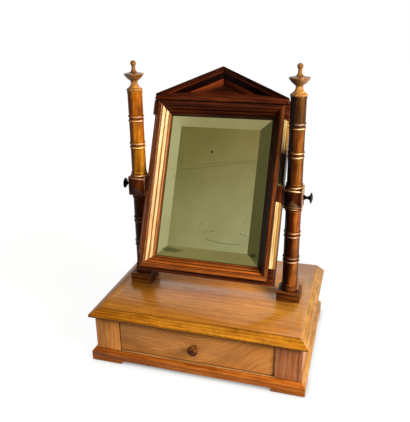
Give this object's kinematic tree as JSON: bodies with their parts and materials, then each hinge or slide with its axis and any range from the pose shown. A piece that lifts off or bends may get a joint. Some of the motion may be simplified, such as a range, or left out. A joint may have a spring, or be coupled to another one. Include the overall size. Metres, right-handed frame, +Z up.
{
  "type": "tabletop vanity mirror",
  "caption": "Wooden swing toilet mirror with a reeded, pedimented frame between turned columns on a box base with a drawer.",
  "frame": {"origin": "on the table, under the middle of the object's outline", "axes": "+X to the right, +Y to the back, +Z up; the drawer and the glass face -Y"},
  "size_m": [0.42, 0.3144, 0.562],
  "materials": {
    "top_wood": "polished",
    "carcase_wood": "satin",
    "plinth_wood": "satin",
    "column_wood": "polished",
    "finial_wood": "polished",
    "frame_wood": "polished",
    "pine": "bare",
    "mirror_glass": "silvered",
    "dark_bronze": "patinated",
    "brass": "aged",
    "steel": "dull"
  },
  "bodies": {
    "base": {"top_panel": "top_wood", "top_edging_front": "top_wood", "top_edging_left": "top_wood", "top_edging_right": "top_wood", "side_panel_left": "carcase_wood", "side_panel_right": "carcase_wood", "back_panel": "pine", "bottom_board": "pine", "front_stile_left": "carcase_wood", "front_stile_right": "carcase_wood", "plinth_front": "plinth_wood", "plinth_left": "plinth_wood", "plinth_right": "plinth_wood", "foot_front_left": "plinth_wood", "foot_front_right": "plinth_wood", "foot_back_left": "plinth_wood", "foot_back_right": "plinth_wood", "drawer_guide_left": "pine", "drawer_guide_right": "pine", "drawer_stops": "pine", "glue_blocks": "pine", "base_block_left": "column_wood", "base_block_right": "column_wood", "column_left": "column_wood", "column_right": "column_wood", "finial_left": "finial_wood", "finial_right": "finial_wood", "boss_bushes": "brass", "column_screws": "steel"},
    "mirror": {"back_rail_top": "frame_wood", "back_rail_bottom": "frame_wood", "back_stile_left": "frame_wood", "back_stile_right": "frame_wood", "moulding_top": "frame_wood", "moulding_bottom": "frame_wood", "moulding_left": "frame_wood", "moulding_right": "frame_wood", "side_reeds_left": "frame_wood", "side_reeds_right": "frame_wood", "tympanum": "frame_wood", "cornice": "frame_wood", "raking_cornice_left": "frame_wood", "raking_cornice_right": "frame_wood", "pivot_block_left": "frame_wood", "pivot_block_right": "frame_wood", "mirror_glass": "mirror_glass", "backboard": "pine", "backboard_pins": "steel", "pivot_washers": "brass", "nut_plates": "brass", "nut_plate_screws": "steel"},
    "thumbscrew_left": {"thumbscrew_left": "dark_bronze"},
    "thumbscrew_right": {"thumbscrew_right": "dark_bronze"},
    "drawer": {"drawer_front": "carcase_wood", "drawer_side_left": "pine", "drawer_side_right": "pine", "drawer_back": "pine", "drawer_bottom": "pine", "drawer_knob": "column_wood"}
  },
  "joints": [
    {"name": "mirror_tilt", "type": "hinge", "parent": "base", "child": "mirror", "pos_m": [0, 0.00215, 0.322], "axis": [-1, 0, 0], "range_deg": [-115.5, 64.5]},
    {"name": "thumbscrew_left_turn", "type": "hinge", "parent": "mirror", "child": "thumbscrew_left", "pos_m": [-0.17, 0.00215, 0.322], "axis": [-1, 0, 0], "range_deg": [0, 540]},
    {"name": "thumbscrew_right_turn", "type": "hinge", "parent": "mirror", "child": "thumbscrew_right", "pos_m": [0.17, 0.00215, 0.322], "axis": [1, 0, 0], "range_deg": [0, 540]},
    {"name": "drawer_slide", "type": "slide", "parent": "base", "child": "drawer", "axis": [0, -1, 0], "range_m": [0, 0.2]}
  ]
}
